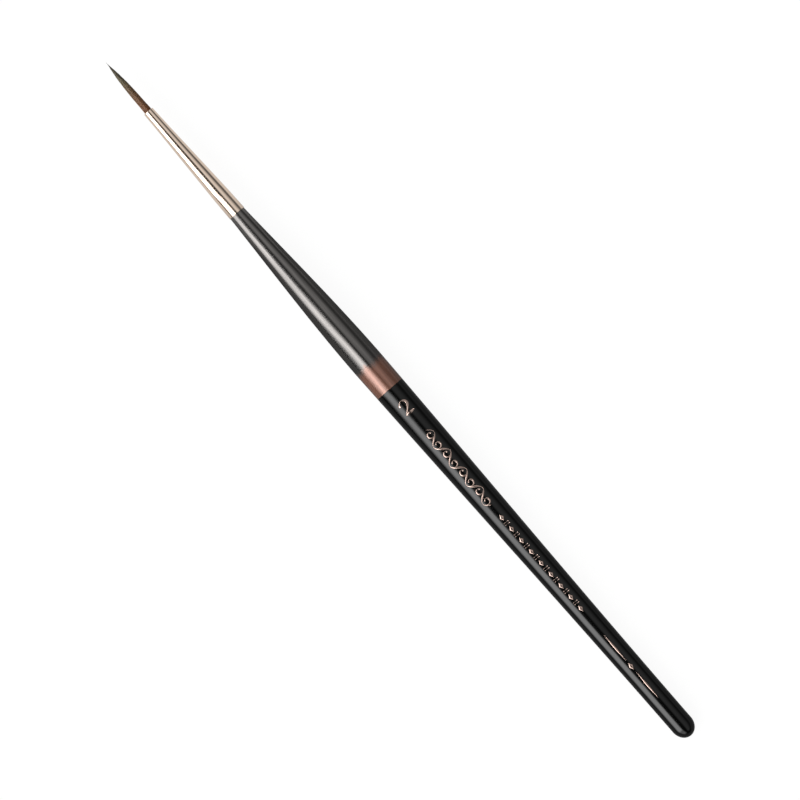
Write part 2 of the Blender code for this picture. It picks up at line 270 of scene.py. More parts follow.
def facing_out(points, faces):
    """The faces, turned round if the closed surface's signed volume is negative."""
    corner = points[faces]
    volume = np.einsum("ij,ij->i", corner[:, 0], np.cross(corner[:, 1], corner[:, 2])).sum()
    if faces.shape[1] == 4:
        volume += np.einsum("ij,ij->i", corner[:, 0], np.cross(corner[:, 2], corner[:, 3])).sum()
    return faces[:, ::-1] if volume < 0 else faces


def turned_ring(profile, segments):
    """A closed profile turned to a ring: points and outward quads."""
    points = lathe(profile, segments).reshape(-1, 3)
    index = np.arange(len(points)).reshape(len(profile), segments)
    return points, facing_out(points, ring_faces(index, True))


def turned_solid(profile, segments):
    """A profile from axis to axis turned to a solid whose two poles are single points."""
    grid = lathe(profile[1:-1], segments)
    rows = len(grid)
    points = np.concatenate([grid.reshape(-1, 3), lathe(profile[[0, -1]], 1).reshape(-1, 3)])
    index = np.arange(rows * segments).reshape(rows, segments)
    quads = ring_faces(index, False)
    first = np.stack([np.full(segments, rows * segments), np.roll(index[0], -1), index[0]], axis=1)
    last = np.stack([np.full(segments, rows * segments + 1), index[-1], np.roll(index[-1], -1)], axis=1)
    corner = points[quads]
    normal = np.cross(corner[:, 1] - corner[:, 0], corner[:, 2] - corner[:, 0])
    inwards = np.einsum("ij,ij->i", normal, corner[:, 0] - points.mean(axis=0)).sum() < 0
    caps = np.concatenate([first, last])
    return (points, quads[:, ::-1], caps[:, ::-1]) if inwards else (points, quads, caps)


def make_piece(name, points, faces, material, slot, *nodes):
    """Put arrays into a smooth-shaded mesh that rides on the brush and stands for its solids."""
    mesh = bpy.data.meshes.new(name)
    mesh.from_pydata(points.tolist(), [], list(chain.from_iterable(group.tolist() for group in faces)))
    mesh.polygons.foreach_set("use_smooth", np.ones(len(mesh.polygons), dtype=bool))
    mesh.materials.append(material)
    piece = bpy.data.objects.new(name, mesh)
    bpy.context.scene.collection.objects.link(piece)
    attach(piece, "root")
    if nodes:
        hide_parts(*nodes)
    return piece


def coat_profile(low, high, rows, sizes):
    """Closed profile of a lacquer ring between two depths: down the outside, up the inside."""
    depth = np.linspace(low, high, rows)
    depth[[1, -2]] = low + GUARD, high - GUARD
    outer = handle_radius(depth, sizes)
    inner = outer - sizes.coat_thickness
    front = rounded_rim(inner[0], outer[0], low, -1, COAT_EDGE)[::-1]
    back = rounded_rim(inner[-1], outer[-1], high, 1, COAT_EDGE)
    outside = np.stack([depth, outer], axis=1)[1:-1]
    inside = np.stack([depth, inner], axis=1)[-2:0:-1]
    return np.concatenate([front, outside, back, inside])


def gloss_profile(low, rows, round_rows, sizes):
    """Profile of the gloss coat from its inner pole to its outer pole, over the rim and the round end."""
    straight = sizes.handle_length - sizes.end_round
    depth = np.linspace(low, straight, rows)
    depth[1] = low + GUARD
    outer = handle_radius(depth, sizes)
    angle = np.linspace(0, math.pi / 2, round_rows)[1:]
    end = sizes.end_diameter / 2
    coat = sizes.coat_thickness
    outer_round = np.stack([straight + sizes.end_round * np.sin(angle), end * np.cos(angle)], axis=1)
    inner_round = [straight + (sizes.end_round - coat) * np.sin(angle), (end - coat) * np.cos(angle)]
    rim = rounded_rim(outer[0] - coat, outer[0], low, -1, GLOSS_EDGE)[::-1]
    outside = np.stack([depth, outer], axis=1)[1:]
    inside = np.stack([depth, outer - coat], axis=1)[:0:-1]
    profile = np.concatenate([np.stack(inner_round, axis=1)[::-1], inside, rim, outside, outer_round])
    profile[[0, -1], 1] = 0.0
    return profile


def ferrule_profile(rows, sizes):
    """Closed profile of the drawn tube, with a full-round lip at the mouth and an eased rear rim."""
    clearance = 0.01 * MM
    first, last = clearance + REAR_EDGE, sizes.ferrule_length - LIP_EDGE - clearance
    height = np.linspace(first, last, rows)
    height[[1, -2]] = height[0] + GUARD, height[-1] - GUARD
    outer = ferrule_radius(height, sizes)
    inner = outer - sizes.ferrule_wall
    lip = rounded_rim(inner[-1], outer[-1], -sizes.ferrule_length, -1, LIP_EDGE, 7)
    rim = rounded_rim(inner[0], outer[0], -clearance, 1, REAR_EDGE)[::-1]
    outside = np.stack([-height, outer], axis=1)[1:-1]
    inside = np.stack([-height, inner], axis=1)[-2:0:-1]
    return np.concatenate([rim[len(rim) // 2:], outside, lip, inside, rim[:len(rim) // 2]])


def bundle_profile(sizes):
    """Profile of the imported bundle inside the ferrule, from its front pole to its rear pole.

    It fills the bore, and its rear, where the thread is tied, is drawn in.
    """
    depths_inside = np.array([0.5, 4.4, 8.3, 10.7, 14.0]) * MM
    clearance, tied_radius = 0.03 * MM, 0.78 * MM
    heights = sizes.ferrule_length - depths_inside
    radius = ferrule_radius(heights, sizes) - sizes.ferrule_wall - clearance
    radius[-2:] = tied_radius
    front = np.array([[-heights[0], 0.0]])
    rear = np.array([[-heights[-1], 0.0]])
    return np.concatenate([front, np.stack([-heights, radius], axis=1), rear])


def hair_strands(sizes, rows=10, sides=4, seed=11):
    """Every hair of the tuft as a tapering square strand: points by hair, row and corner.

    The roots lie on a sunflower spiral. At a share u of the tuft's height every distance from the axis
    shrinks by 1 - gather u^power, so hairs draw together without crossing, and a hair stops where it meets
    the outline 1 - u^power; the innermost run on a little to a finer point. Each hair is a little shorter
    and stands a little in or out by chance. Its shading normals lean out from the axis, so the tuft takes
    light as one wet-pointed body of fine hairs.
    """
    rng = np.random.default_rng(seed)
    count = sizes.hair_count
    power, gather, outermost = 3.0, 0.8, 0.985
    # Chance: most that a hair is shorter, how far it strays, its least thickness and the range of that
    shorter, stray_share, thinnest, spread = 0.06, 0.025, 0.85, 0.3
    # Which hairs run on, and how far; where hairs start, and where they swell from the mouth to the belly
    inmost, run_on = 0.3, 0.05
    root, swell_start, swell_over = -0.08, -0.06, 0.22
    # Crowding of the rows, taper of one hair and of the tuft's hairs, and lean of the shading normals
    crowding, tip_taper, tip_share, lean = 0.9, 0.35, 0.4, 0.6
    order = np.arange(count)
    share = np.sqrt((order + 0.5) / count)
    angle = order * GOLDEN_ANGLE
    half = sizes.hair_thickness / 2
    belly = sizes.tuft_diameter / 2 - half
    mouth = sizes.mouth_diameter / 2 - sizes.ferrule_wall - half
    inner = share * outermost
    top = ((1 - inner) / (1 - gather * inner)) ** (1 / power)
    top = top / top.max() * (1 - shorter * rng.random(count) * share)
    top += run_on * np.clip(1 - share / inmost, 0, 1)
    along = np.linspace(0, 1, rows)[None, :] ** crowding
    u = root + (top[:, None] - root) * along
    rise = np.clip((u - swell_start) / swell_over, 0, 1)
    swell = mouth + (belly - mouth) * rise**2 * (3 - 2 * rise)
    draw = 1 - gather * np.clip(u, 0, 1) ** power
    stray = 1 + stray_share * rng.standard_normal(count)[:, None] * np.clip(u, 0, 1)
    reach = share[:, None] * swell * draw * stray
    centre = about_axis(MOUTH_X - u * sizes.hair_out, reach, angle[:, None])
    thick = half * (thinnest + spread * rng.random(count)[:, None]) * (1 - tip_taper * along**3)
    thick *= tip_share + (1 - tip_share) * draw
    turn = rng.random(count)[:, None] * 2 * math.pi + np.arange(sides) * 2 * math.pi / sides
    corner = np.stack([np.zeros_like(turn), np.sin(turn), np.cos(turn)], axis=-1)
    points = centre[:, :, None, :] + thick[:, :, None, None] * corner[:, None, :, :]
    tint = np.broadcast_to(rng.random(count)[:, None, None], points.shape[:3])
    level = np.broadcast_to(np.clip(u, 0, 1)[:, :, None], points.shape[:3])
    outward = np.stack([np.zeros(count), np.sin(angle), np.cos(angle)], axis=-1)
    facing = (1 - lean) * corner[:, None, :, :] + lean * outward[:, None, None, :]
    return points, np.broadcast_to(facing, points.shape), level, tint


def strand_faces(shape):
    """Quads of all strands: the sides, and a cap at each end."""
    index = np.arange(math.prod(shape)).reshape(shape)
    caps = np.concatenate([index[:, 0, ::-1], index[:, -1, :]])
    return np.concatenate([ring_faces(index, False), caps[:, ::-1]])


def foil_slab(along, around, half_width, sizes, across=7):
    """A thin domed slab of foil that follows a path on the handle: points and faces.

    The path is given by its depth and its distance round the handle. With v from -1 to 1 across the path,
    the slab reaches v times half_width to the side and stands edge + crown (1 - v^2) over the lacquer; its
    underside lies just below the lacquer.
    """
    step = np.stack([np.gradient(along), np.gradient(around)], axis=1)
    step /= np.linalg.norm(step, axis=1)[:, None]
    v = np.linspace(-1, 1, across)[None, :]
    side = v * half_width[:, None]
    depth = along[:, None] - step[:, 1, None] * side
    radius = handle_radius(depth, sizes)
    angle = (around[:, None] + step[:, 0, None] * side) / radius
    crown = np.minimum(FOIL_DOME * half_width, sizes.foil_crown)[:, None] * (1 - v**2)
    high = np.stack([radius + FOIL_EDGE + crown, radius - FOIL_SUNK])
    layers = about_axis(SHOULDER_X + depth, high, angle)
    ring = np.concatenate([layers[0], layers[1][:, ::-1]], axis=1)
    points = ring.reshape(-1, 3)
    index = np.arange(len(points)).reshape(ring.shape[:2])
    top, bottom = index[[0, -1], :across], index[[0, -1], across:][:, ::-1]
    caps = np.stack([top[:, :-1], top[:, 1:], bottom[:, 1:], bottom[:, :-1]], axis=-1)
    caps[0] = caps[0][:, ::-1]
    faces = np.concatenate([ring_faces(index, False), caps.reshape(-1, 4)[:, ::-1]])
    return points, facing_out(points, faces)


def numeral_strokes():
    """The size numeral as two strokes: right, up and half width in millimetres, from its foot's middle.

    The first stroke starts in a round drop, follows an ellipse clockwise over the top and sweeps down a
    parabola to the foot. It is thick on the right of the bowl and thin at the top and at the foot. The
    second is the foot, a straight stroke that is thickest in its middle.
    """
    turn = np.radians(np.linspace(192, -36, 34))
    bowl = np.stack([0.86 * np.cos(turn), 2.3 + 0.78 * np.sin(turn)], axis=1)
    w = np.linspace(0, 1, 20)[1:, None]
    pull, end = np.array([0.34, 1.22]), np.array([-0.86, 0.32])
    sweep = (1 - w) ** 2 * bowl[-1] + 2 * w * (1 - w) * pull + w**2 * end
    stem = np.concatenate([bowl, sweep])
    s = np.linspace(0, 1, len(stem))
    drop = 0.19 * np.exp(-((s - 0.05) / 0.05) ** 2)
    stem_half = 0.1 + drop + 0.18 * np.exp(-((s - 0.56) / 0.17) ** 2) + 0.05 * s
    u = np.linspace(-1, 1, 17)
    foot = np.stack([1.02 * u, 0.24 + 0.08 * u**3], axis=1)
    return [(stem, stem_half), (foot, 0.15 + 0.15 * (1 - u**2))]


def swelled_rule(middle, length, half_width):
    """A rule that is thickest in its middle and fades to hairlines at its ends: half width w (1 - s^2)^2."""
    s = np.linspace(-1, 1, 41)
    return middle + s * length / 2, np.zeros(41), half_width * (0.06 + 0.94 * (1 - s**2) ** 2)


def lozenge(middle, length, half_width):
    """A diamond with slightly hollow sides: half width w (1 - |s|)^1.2."""
    s = np.linspace(-1, 1, 17)
    return middle + s * length / 2, np.zeros(17), half_width * (0.02 + 0.98 * (1 - np.abs(s)) ** 1.2)


def reel(middle, height, half_width):
    """A short bar across the handle, a little thicker at both ends."""
    s = np.linspace(-1, 1, 9)
    return np.full(9, middle), s * height / 2, half_width * (0.8 + 0.2 * s**2)


def running_scroll(start, length, waves, height):
    """A running scroll: a sine stem and, in each of its hollows, a curl.

    The stem is height / 2 times the sine of the waves, thick where it climbs and thin at its crests. A curl
    leaves a crest and winds inwards on a spiral whose radius falls evenly over one turn, to end in a drop.
    """
    s = np.linspace(0, 1, 24 * waves + 1)
    phase = 2 * math.pi * waves * s
    fade = np.minimum(1, 6 * np.minimum(s, 1 - s) + 0.3)
    stem = (start + length * s, height / 2 * np.sin(phase), (0.05 + 0.15 * np.cos(phase) ** 2) * fade * MM)
    shapes = [stem]
    for hollow in range(2 * waves):
        side = 1 if hollow % 2 == 0 else -1
        q = np.linspace(0, 1, 26)
        turn = math.pi / 2 - q * 1.9 * math.pi
        reach = height * (0.46 - 0.33 * q)
        middle = start + length * (hollow + 0.5) / (2 * waves)
        crest = side * (height / 2 - reach[0])
        along = middle + reach * np.cos(turn)
        around = crest + side * reach * np.sin(turn)
        drop = 0.16 * np.exp(-(((q - 0.96) / 0.06) ** 2))
        half = (0.045 + 0.12 * np.sin(math.pi * q) ** 2 + drop) * MM
        shapes.append((along, around, half))
    return shapes


def foil_shapes(sizes):
    """All the stamped shapes on the gloss coat: the size numeral, a scroll, bead and reel, and a rule."""
    first_bead, bead_step, beads = 80.5 * MM, 3.0 * MM, 9
    reel_apart, rule_middle, rule_apart = 0.24 * MM, 119.8 * MM, 4.9 * MM
    shapes = []
    for stroke, half in numeral_strokes():
        shapes.append((sizes.numeral_depth - stroke[:, 1] * MM, stroke[:, 0] * MM, half * MM))
    shapes += running_scroll(start=57.4 * MM, length=19.8 * MM, waves=4, height=2.2 * MM)
    places = first_bead + bead_step * np.arange(beads)
    shapes += [lozenge(place, length=1.5 * MM, half_width=0.5 * MM) for place in places]
    for between in places[:-1] + bead_step / 2:
        for side in (-reel_apart, reel_apart):
            shapes.append(reel(between + side, height=1.1 * MM, half_width=0.1 * MM))
    shapes.append(swelled_rule(rule_middle - rule_apart, length=7.0 * MM, half_width=0.2 * MM))
    shapes.append(lozenge(rule_middle, length=1.7 * MM, half_width=0.5 * MM))
    shapes.append(swelled_rule(rule_middle + rule_apart, length=7.0 * MM, half_width=0.2 * MM))
    return shapes


# Materials


def add_node(tree, kind, inputs=None, **settings):
    """Add a node, with its settings, and with each named input set to a value or linked to an output."""
    made = tree.nodes.new(kind)
    for key, value in settings.items():
        setattr(made, key, value)
    for name, value in (inputs or {}).items():
        socket = made.inputs[name]
        if isinstance(value, bpy.types.NodeSocket):
            tree.links.new(value, socket)
        elif socket.type == "RGBA":
            socket.default_value = (*value[:3], 1.0)
        else:
            socket.default_value = value
    return made


def new_material(name):
    """An empty node material: the material and its tree."""
    material = bpy.data.materials.new(name)
    material.use_nodes = True
    material.node_tree.nodes.clear()
    return material, material.node_tree


def finish_material(tree, inputs):
    """Close a material with a Principled shader whose inputs are given by socket name."""
    shader = add_node(tree, "ShaderNodeBsdfPrincipled", inputs)
    add_node(tree, "ShaderNodeOutputMaterial", {"Surface": shader.outputs["BSDF"]})


def streak_pattern(tree, along, across, detail=4.0):
    """Noise drawn out along the brush, with features of about along by across millimetres."""
    place = add_node(tree, "ShaderNodeTexCoord").outputs["Object"]
    size = (1 / (along * MM), 1 / (across * MM), 1 / (across * MM))
    scaled = add_node(tree, "ShaderNodeMapping", {"Vector": place, "Scale": size}).outputs["Vector"]
    noise = {"Vector": scaled, "Scale": 1.0, "Detail": detail}
    return add_node(tree, "ShaderNodeTexNoise", noise).outputs["Fac"]


def red_sable_hair(colours):
    """Red sable hair, washed and pointed: fine brown hairs that darken to the tip, each its own shade."""
    material, tree = new_material("red_sable_hair")
    level = add_node(tree, "ShaderNodeAttribute", attribute_name="level").outputs["Fac"]
    tint = add_node(tree, "ShaderNodeAttribute", attribute_name="tint").outputs["Fac"]
    stops = (
        (0.02, 0.35, colours.hair_middle),
        (0.35, 0.62, colours.hair_upper),
        (0.62, 1.0, colours.hair_tip),
    )
    body = colours.hair_root
    for low, high, colour in stops:
        share = add_node(tree, RANGE, {"Value": level, "From Min": low, "From Max": high})
        blend = {"Factor": share.outputs["Result"], MIX_A: body, MIX_B: colour}
        body = add_node(tree, MIX, blend, **RGBA).outputs[MIX_OUT]
    shade = add_node(tree, RANGE, {"Value": tint, "To Min": 0.5, "To Max": 1.45})
    varied = add_node(tree, "ShaderNodeHueSaturation", {"Value": shade.outputs["Result"], "Color": body})
    sheen = {"Roughness": 0.33, "IOR": 1.55, "Specular IOR Level": 0.35}
    finish_material(tree, {"Base Color": varied.outputs["Color"], **sheen})
    return material


def plated_ferrule(colours):
    """Drawn brass, plated with warm nickel and polished: a bright metal with fine draw lines."""
    material, tree = new_material("warm_nickel_plating_drawn")
    # Real draw lines are finer than 0.05 mm; 0.16 mm is as coarse as they need to be to show.
    lines = streak_pattern(tree, 9.0, 0.16)
    rough = add_node(tree, RANGE, {"Value": lines, "To Min": 0.08, "To Max": 0.15})
    bump = add_node(tree, "ShaderNodeBump", {"Height": lines, "Strength": 0.05, "Distance": 0.02 * MM})
    worn = tuple(c * 0.9 for c in colours.ferrule)
    colour = add_node(tree, MIX, {"Factor": lines, MIX_A: colours.ferrule, MIX_B: worn}, **RGBA)
    finish_material(
        tree,
        {
            "Base Color": colour.outputs[MIX_OUT],
            "Metallic": 1.0,
            "Roughness": rough.outputs["Result"],
            "Normal": bump.outputs["Normal"],
        },
    )
    return material


def satin_lacquer(name, colours):
    """Satin metallic lacquer, sprayed: anthracite, with the copper band misted on over a soft front edge.

    The fine metal pigment gives a bright highlight, the clear coat over it a softer one, and the spray leaves
    faint streaks along the brush. The copper has less metal in it than the anthracite and more clear coat, so
    its own colour shows more.
    """
    material, tree = new_material(name)
    streaks = streak_pattern(tree, 14.0, 0.35)
    # Pigment flakes are about 0.03 mm; 0.14 mm is as coarse as they need to be to show.
    flakes = streak_pattern(tree, 0.14, 0.14, 2.0)
    mist = streak_pattern(tree, 1.6, 0.3)
    drift = streak_pattern(tree, 9.0, 2.4, 1.0)
    place = add_node(tree, "ShaderNodeTexCoord").outputs["Object"]
    edge = add_node(tree, "ShaderNodeSeparateXYZ", {"Vector": place}).outputs["X"]
    for pattern in (mist, drift):
        stray = add_node(tree, RANGE, {"Value": pattern, "To Min": -MIST_STRAY, "To Max": MIST_STRAY})
        edge = add_node(tree, MATH, {0: edge, 1: stray.outputs["Result"]}, operation="ADD").outputs["Value"]
    front = {"Value": edge, "From Min": BAND_LOW.x + MIST_START, "From Max": BAND_LOW.x + MIST_FULL}
    spray = add_node(tree, RANGE, front, **SMOOTH).outputs["Result"]
    blend = {"Factor": spray, MIX_A: colours.anthracite, MIX_B: colours.copper}
    body = add_node(tree, MIX, blend, **RGBA).outputs[MIX_OUT]
    streaky = {"Value": streaks, "From Min": 0.3, "From Max": 0.7, "To Min": 0.78, "To Max": 1.22}
    shade = add_node(tree, RANGE, streaky)
    varied = add_node(tree, "ShaderNodeHueSaturation", {"Value": shade.outputs["Result"], "Color": body})
    coarse = add_node(tree, RANGE, {"Value": spray, "To Min": 0.0, "To Max": 0.04})
    metal = add_node(tree, RANGE, {"Value": spray, "To Min": 0.92, "To Max": 0.4})
    clear = add_node(tree, RANGE, {"Value": spray, "To Min": 0.6, "To Max": 1.0})
    rough = add_node(tree, RANGE, {"Value": flakes, "To Min": 0.11, "To Max": 0.18})
    total = {0: rough.outputs["Result"], 1: coarse.outputs["Result"]}
    finish_material(
        tree,
        {
            "Base Color": varied.outputs["Color"],
            "Metallic": metal.outputs["Result"],
            "Roughness": add_node(tree, MATH, total, operation="ADD").outputs["Value"],
            "Specular Tint": (0.3, 0.3, 0.3),
            "Coat Weight": clear.outputs["Result"],
            "Coat Roughness": 0.2,
            "Coat IOR": 1.6,
        },
    )
    return material


def black_gloss_lacquer(colours):
    """Black gloss lacquer, dipped and polished: deep black with a faint pull along the brush."""
    material, tree = new_material("black_gloss_lacquer_dipped")
    pull = streak_pattern(tree, 6.0, 1.2)
    bump = add_node(tree, "ShaderNodeBump", {"Height": pull, "Strength": 0.06, "Distance": 0.02 * MM})
    haze = streak_pattern(tree, 3.0, 0.4)
    rough = add_node(tree, RANGE, {"Value": haze, "To Min": 0.07, "To Max": 0.13})
    finish_material(
        tree,
        {
            "Base Color": colours.black,
            "Roughness": rough.outputs["Result"],
            "IOR": 1.45,
            "Normal": bump.outputs["Normal"],
        },
    )
    return material


def rose_gold_foil(colours):
    """Rose-gold hot-stamping foil: a bright metal film with the fine pitting of the press."""
    material, tree = new_material("rose_gold_hot_foil")
    pits = streak_pattern(tree, 0.12, 0.12)
    dull = tuple(c * 0.78 for c in colours.foil)
    colour = add_node(tree, MIX, {"Factor": pits, MIX_A: colours.foil, MIX_B: dull}, **RGBA)
    rough = add_node(tree, RANGE, {"Value": pits, "To Min": 0.1, "To Max": 0.22})
    finish_material(
        tree,
        {"Base Color": colour.outputs[MIX_OUT], "Metallic": 1.0, "Roughness": rough.outputs["Result"]},
    )
    return material


def turned_hardwood():
    """Sanded hardwood, turned: pale wood with long brown grain."""
    material, tree = new_material("turned_hardwood")
    grain = streak_pattern(tree, 22.0, 0.5, 6.0)
    pale, brown = linear("#d9b98a"), linear("#9c7345")
    colour = add_node(tree, MIX, {"Factor": grain, MIX_A: pale, MIX_B: brown}, **RGBA)
    rough = add_node(tree, RANGE, {"Value": grain, "To Min": 0.5, "To Max": 0.7})
    finish_material(tree, {"Base Color": colour.outputs[MIX_OUT], "Roughness": rough.outputs["Result"]})
    return material


def hard_resin(name, light, dark, rough):
    """Set resin or glue, poured: clear amber to straw with cloudy places."""
    material, tree = new_material(name)
    cloud = streak_pattern(tree, 0.8, 0.8)
    blend = {"Factor": cloud, MIX_A: linear(light), MIX_B: linear(dark)}
    colour = add_node(tree, MIX, blend, **RGBA)
    finish_material(tree, {"Base Color": colour.outputs[MIX_OUT], "Roughness": rough})
    return material


def waxed_thread():
    """Waxed linen thread, twisted: straw-coloured with slanting strands 0.12 mm apart."""
    material, tree = new_material("waxed_linen_thread")
    place = add_node(tree, "ShaderNodeTexCoord").outputs["Object"]
    apart = 0.12 * MM
    twist = add_node(tree, "ShaderNodeTexWave", {"Vector": place, "Scale": 1 / (2 * math.pi * apart)})
    blend = {"Factor": twist.outputs["Fac"], MIX_A: linear("#d8ccae"), MIX_B: linear("#a4946e")}
    colour = add_node(tree, MIX, blend, **RGBA)
    finish_material(tree, {"Base Color": colour.outputs[MIX_OUT], "Roughness": 0.7})
    return material


def pale_floor(colours):
    """Matt white paper on a light table: it glows a little, so shadows stay soft.

    Reflections see a painted reflection, a white glow, dimmest under the handle as a painted shadow.
    """
    material, tree = new_material("matt_paper_floor")
    fibre = streak_pattern(tree, 2.0, 2.0)
    shaded = tuple(c * 0.985 for c in colours.floor)
    colour = add_node(tree, MIX, {"Factor": fibre, MIX_A: colours.floor, MIX_B: shaded}, **RGBA)
    paper = add_node(
        tree,
        "ShaderNodeBsdfPrincipled",
        {
            "Base Color": colour.outputs[MIX_OUT],
            "Roughness": 0.9,
            "Emission Color": WHITE,
            "Emission Strength": 0.94,
        },
    )
    place = add_node(tree, "ShaderNodeTexCoord").outputs["Object"]
    depth = add_node(tree, "ShaderNodeSeparateXYZ", {"Vector": place}).outputs["X"]
    # Painted shadow: the glow that reflections see falls from 0.74 by the ferrule to 0.2 under the handle.
    shoulder = {
        "Value": depth,
        "From Min": SHOULDER_X - 6 * MM,
        "From Max": SHOULDER_X + 8 * MM,
        "To Min": 0.74,
        "To Max": 0.2,
    }
    painted_shadow_strength = add_node(tree, RANGE, shoulder, **SMOOTH).outputs["Result"]
    # Painted reflection: glossy rays see this glow in place of the paper.
    painted_reflection = add_node(tree, "ShaderNodeEmission", {"Color": WHITE, "Strength": painted_shadow_strength})
    path = add_node(tree, "ShaderNodeLightPath").outputs["Is Glossy Ray"]
    seen = {0: path, 1: paper.outputs["BSDF"], 2: painted_reflection.outputs["Emission"]}
    mixed = add_node(tree, "ShaderNodeMixShader", seen)
    add_node(tree, "ShaderNodeOutputMaterial", {"Surface": mixed.outputs["Shader"]})
    return material


# Operators


class DETAILBRUSH_OT_tuft(Operator):
    """Make the pointed tuft of hair and the bundle that holds it in the ferrule"""

    bl_idname = "detail_brush.tuft"
    bl_label = "Hair Tuft"

    def execute(self, context):
        sizes = context.scene.detail_brush_sizes
        strands, facing, level, tint = hair_strands(sizes)
        hairs = strands.reshape(-1, 3)
        faces = facing_out(hairs, strand_faces(strands.shape[:3]))
        bundle, quads, caps = turned_solid(bundle_profile(sizes), BUNDLE_SIDES)
        points = np.concatenate([hairs, bundle])
        groups = [faces, quads + len(hairs), caps + len(hairs)]
        material = red_sable_hair(context.scene.detail_brush_colours)
        tuft = make_piece("sable_tuft", points, groups, material, "hair", "hair_tuft")
        normals = np.concatenate([facing.reshape(-1, 3), bundle - bundle.mean(axis=0)])
        normals /= np.linalg.norm(normals, axis=1)[:, None]
        tuft.data.normals_split_custom_set_from_vertices(normals.tolist())
        packed = np.full(len(bundle), 0.2)
        for name, value in (("level", level), ("tint", tint)):
            stored = tuft.data.attributes.new(name, "FLOAT", "POINT")
            filled = np.concatenate([value.reshape(-1), packed])
            stored.data.foreach_set("value", filled.astype(np.float32))
        return {"FINISHED"}


class DETAILBRUSH_OT_ferrule(Operator):
    """Make the drawn metal ferrule"""

    bl_idname = "detail_brush.ferrule"
    bl_label = "Ferrule"

    def execute(self, context):
        sizes = context.scene.detail_brush_sizes
        points, faces = turned_ring(ferrule_profile(FERRULE_ROWS, sizes), FERRULE_SIDES)
        material = plated_ferrule(context.scene.detail_brush_colours)
        make_piece("drawn_ferrule", points, [faces], material, "ferrule", "ferrule")
        return {"FINISHED"}


class DETAILBRUSH_OT_coats(Operator):
    """Make the three lacquer coats of the handle"""

    bl_idname = "detail_brush.coats"
    bl_label = "Lacquer Coats"

    def execute(self, context):
        sizes = context.scene.detail_brush_sizes
        colours = context.scene.detail_brush_colours
        band = sizes.grip_length
        gloss = band + sizes.band_width
        profile = coat_profile(0.0, band - COAT_GAP, GRIP_ROWS, sizes)
        points, faces = turned_ring(profile, COAT_SIDES)
        grip = satin_lacquer("anthracite_satin_lacquer_sprayed", colours)
        make_piece("satin_grip", points, [faces], grip, "matt_lacquer", "grip_lacquer")
        profile = coat_profile(band + COAT_GAP, gloss - COAT_GAP, BAND_ROWS, sizes)
        points, faces = turned_ring(profile, COAT_SIDES)
        copper = satin_lacquer("copper_satin_lacquer_sprayed", colours)
        make_piece("copper_ring", points, [faces], copper, "copper_lacquer", "copper_band")
        profile = gloss_profile(gloss + COAT_GAP, GLOSS_ROWS, ROUND_ROWS, sizes)
        points, quads, caps = turned_solid(profile, COAT_SIDES)
        black = black_gloss_lacquer(colours)
        make_piece("gloss_body", points, [quads, caps], black, "gloss_lacquer", "gloss_lacquer")
        return {"FINISHED"}


class DETAILBRUSH_OT_foil(Operator):
    """Stamp the size numeral and the plain ornaments on the gloss coat"""

    bl_idname = "detail_brush.foil"
    bl_label = "Foil Stamping"

    def execute(self, context):
        sizes = context.scene.detail_brush_sizes
        points, faces, start = [], [], 0
        for along, around, half in foil_shapes(sizes):
            slab, quads = foil_slab(along, around, half, sizes)
            points.append(slab)
            faces.append(quads + start)
            start += len(slab)
        material = rose_gold_foil(context.scene.detail_brush_colours)
        make_piece("foil_stamping", np.concatenate(points), faces, material, "copper_lacquer")
        return {"FINISHED"}


class DETAILBRUSH_OT_inside(Operator):
    """Finish the solids that lie hidden inside the brush"""

    bl_idname = "detail_brush.inside"
    bl_label = "Hidden Pieces"

    def execute(self, context):
        finishes = {
            "handle_core": turned_hardwood(),
            "root_cement": hard_resin("amber_root_cement", "#b4702a", "#7c4416", 0.3),
            "tenon_glue": hard_resin("straw_wood_glue", "#e0d3ad", "#c2ad78", 0.45),
            "binding_thread": waxed_thread(),
        }
        for name, material in finishes.items():
            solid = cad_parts[name]
            solid.data.materials.clear()
            solid.data.materials.append(material)
        return {"FINISHED"}


